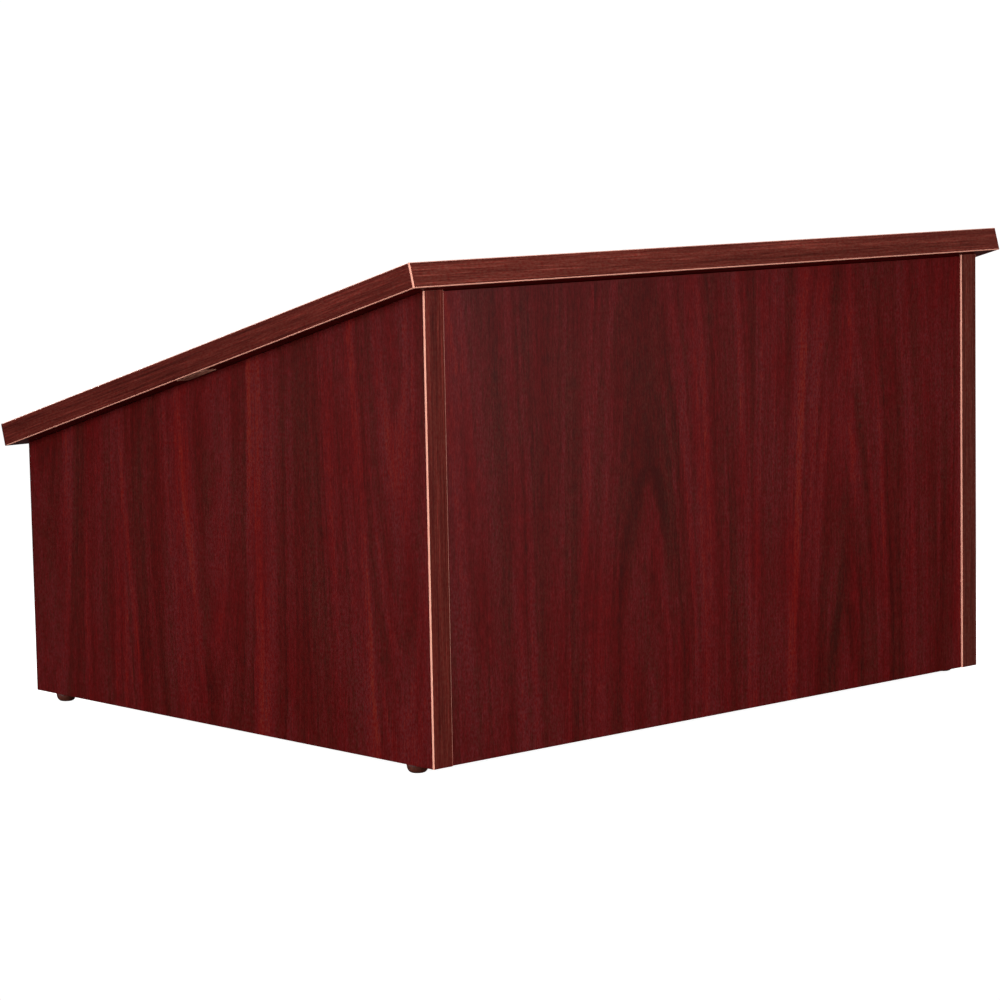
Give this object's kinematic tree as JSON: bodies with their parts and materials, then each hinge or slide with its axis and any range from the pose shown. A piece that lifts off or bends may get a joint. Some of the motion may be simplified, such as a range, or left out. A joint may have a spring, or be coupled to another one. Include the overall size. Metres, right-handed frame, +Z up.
{
  "type": "tabletop lectern",
  "caption": "Tabletop lectern: a box of mahogany laminate boards under a sloping reading top with a book stop, open to the speaker for storage.",
  "frame": {"origin": "on the table, at the middle of the bounding box's underside", "axes": "+X to the right as the audience sees it, -Y towards the audience, +Y towards the speaker, +Z up"},
  "size_m": [0.603, 0.4914, 0.35],
  "materials": {
    "mahogany_laminate": "printed mahogany melamine on 17.5 mm particleboard, satin with a fine pore texture, bare board on the unbanded edges",
    "edge_banding": "1.3 mm plastic edge band with a printed mahogany face and a pale salmon core that shows on its sides and worn arrises",
    "solid_mahogany": "stained wood moulding, satin lacquer",
    "brown_plastic": "moulded brown plastic, low gloss",
    "zinc_alloy": "die-cast zinc, matt grey",
    "steel": "bright zinc-plated steel",
    "beech": "dry fluted beech",
    "blank_label": "plain grey film label with nothing on it"
  },
  "bodies": {
    "root": {"reading_top": "mahogany_laminate", "side_panel_left": "mahogany_laminate", "side_panel_right": "mahogany_laminate", "front_panel": "mahogany_laminate", "storage_shelf": "mahogany_laminate", "top_front_band": "edge_banding", "top_back_band": "edge_banding", "top_left_band": "edge_banding", "top_right_band": "edge_banding", "side_left_front_band": "edge_banding", "side_left_back_band": "edge_banding", "side_right_front_band": "edge_banding", "side_right_back_band": "edge_banding", "shelf_back_band": "edge_banding", "book_stop": "solid_mahogany", "glide_left_front": "brown_plastic", "glide_nail_left_front": "steel", "glide_left_back": "brown_plastic", "glide_nail_left_back": "steel", "cam_disc_front_left_lower": "zinc_alloy", "cam_bolt_front_left_lower": "steel", "dowel_front_left_lower": "beech", "cam_disc_front_left_upper": "zinc_alloy", "cam_bolt_front_left_upper": "steel", "dowel_front_left_upper": "beech", "cam_disc_shelf_left_front": "zinc_alloy", "cam_disc_top_left_front": "zinc_alloy", "cam_bolt_shelf_left_front": "steel", "cam_bolt_top_left_front": "steel", "cam_disc_shelf_left_back": "zinc_alloy", "cam_disc_top_left_back": "zinc_alloy", "cam_bolt_shelf_left_back": "steel", "cam_bolt_top_left_back": "steel", "dowel_shelf_left": "beech", "dowel_top_left": "beech", "glide_right_front": "brown_plastic", "glide_nail_right_front": "steel", "glide_right_back": "brown_plastic", "glide_nail_right_back": "steel", "cam_disc_front_right_lower": "zinc_alloy", "cam_bolt_front_right_lower": "steel", "dowel_front_right_lower": "beech", "cam_disc_front_right_upper": "zinc_alloy", "cam_bolt_front_right_upper": "steel", "dowel_front_right_upper": "beech", "cam_disc_shelf_right_front": "zinc_alloy", "cam_disc_top_right_front": "zinc_alloy", "cam_bolt_shelf_right_front": "steel", "cam_bolt_top_right_front": "steel", "cam_disc_shelf_right_back": "zinc_alloy", "cam_disc_top_right_back": "zinc_alloy", "cam_bolt_shelf_right_back": "steel", "cam_bolt_top_right_back": "steel", "dowel_shelf_right": "beech", "dowel_top_right": "beech", "book_stop_screw_1": "steel", "book_stop_screw_2": "steel", "book_stop_screw_3": "steel", "blank_label": "blank_label"}
  },
  "joints": []
}
